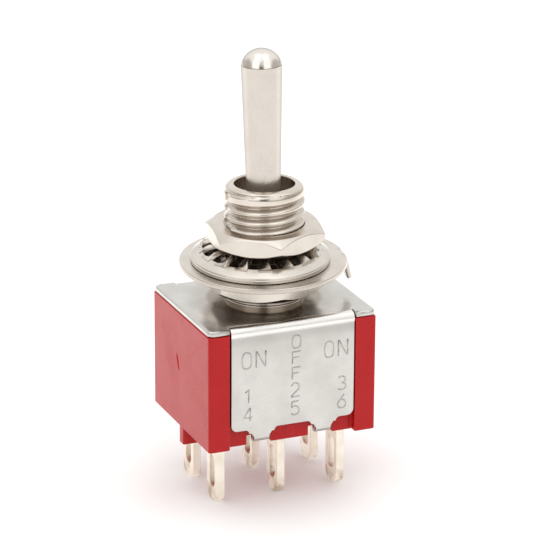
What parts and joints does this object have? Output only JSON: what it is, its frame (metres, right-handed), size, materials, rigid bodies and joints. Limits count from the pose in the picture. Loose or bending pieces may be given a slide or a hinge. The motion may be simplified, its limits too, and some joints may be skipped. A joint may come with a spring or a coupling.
{
  "type": "panel toggle switch",
  "caption": "Miniature panel toggle switch: red case in a folded steel cover, threaded bushing with nuts and washers, bat lever and solder lugs.",
  "frame": {"origin": "on the bushing's axis, on the top face of the steel cover", "axes": "+Z out of the panel along the bushing, +X along the lever's swing and away from the bushing's keyway, +Y from the front row of lugs to the rear row"},
  "size_m": [0.0133, 0.0126, 0.0335],
  "materials": {
    "red_moulding": "gloss, moulded phenolic",
    "cover_steel": "satin, tin-plated steel sheet",
    "bushing_nickel": "bright nickel plate on turned brass",
    "lever_nickel": "satin nickel plate on turned brass",
    "nut_nickel": "bright nickel plate",
    "washer_nickel": "bright nickel plate",
    "terminal_silver": "silver plate, slightly tarnished at the tips",
    "contact_silver": "silver plate",
    "white_nylon": "matt, moulded nylon",
    "black_nylon": "matt, moulded nylon",
    "spring_wire": "drawn steel wire"
  },
  "bodies": {
    "housing": {"case": "red_moulding", "cover_frame": "cover_steel", "bushing": "bushing_nickel", "upper_nut": "nut_nickel", "lock_washer": "washer_nickel", "keyed_washer": "washer_nickel", "lower_nut": "nut_nickel", "terminal_front_left": "terminal_silver", "terminal_front_common": "terminal_silver", "terminal_front_right": "terminal_silver", "terminal_rear_left": "terminal_silver", "terminal_rear_common": "terminal_silver", "terminal_rear_right": "terminal_silver"},
    "lever": {"lever": "lever_nickel"},
    "carrier": {"actuator_carrier": "white_nylon", "spring_front": "spring_wire", "spring_rear": "spring_wire"},
    "plunger_front": {"plunger_front": "black_nylon"},
    "plunger_rear": {"plunger_rear": "black_nylon"},
    "rocker_front": {"rocker_front": "contact_silver"},
    "rocker_rear": {"rocker_rear": "contact_silver"}
  },
  "joints": [
    {"name": "lever_tilt", "type": "hinge", "parent": "housing", "child": "lever", "pos_m": [0, 0, 0.0048], "axis": [0, 1, 0], "range_deg": [-12, 12]},
    {"name": "carrier_slide", "type": "slide", "parent": "housing", "child": "carrier", "axis": [1, 0, 0], "range_m": [-0.00155, 0.00155]},
    {"name": "rocker_front_tilt", "type": "hinge", "parent": "housing", "child": "rocker_front", "pos_m": [0, -0.0024, -0.0061], "axis": [0, 1, 0], "range_deg": [-7.05, 7.05]},
    {"name": "rocker_rear_tilt", "type": "hinge", "parent": "housing", "child": "rocker_rear", "pos_m": [0, 0.0024, -0.0061], "axis": [0, 1, 0], "range_deg": [-7.05, 7.05]},
    {"name": "plunger_front_slide", "type": "slide", "parent": "carrier", "child": "plunger_front", "axis": [0, 0, 1], "range_m": [0, 0.0003], "stiffness_N_per_m": 200, "springref_m": -0.001, "deforming": ["spring_front"]},
    {"name": "plunger_rear_slide", "type": "slide", "parent": "carrier", "child": "plunger_rear", "axis": [0, 0, 1], "range_m": [0, 0.0003], "stiffness_N_per_m": 200, "springref_m": -0.001, "deforming": ["spring_rear"]}
  ],
  "couplings": [
    {"joint": "carrier_slide", "follows": "lever_tilt", "m_per_rad": -0.007346},
    {"joint": "rocker_front_tilt", "follows": "lever_tilt", "ratio": -0.58333},
    {"joint": "rocker_rear_tilt", "follows": "lever_tilt", "ratio": -0.58333}
  ]
}
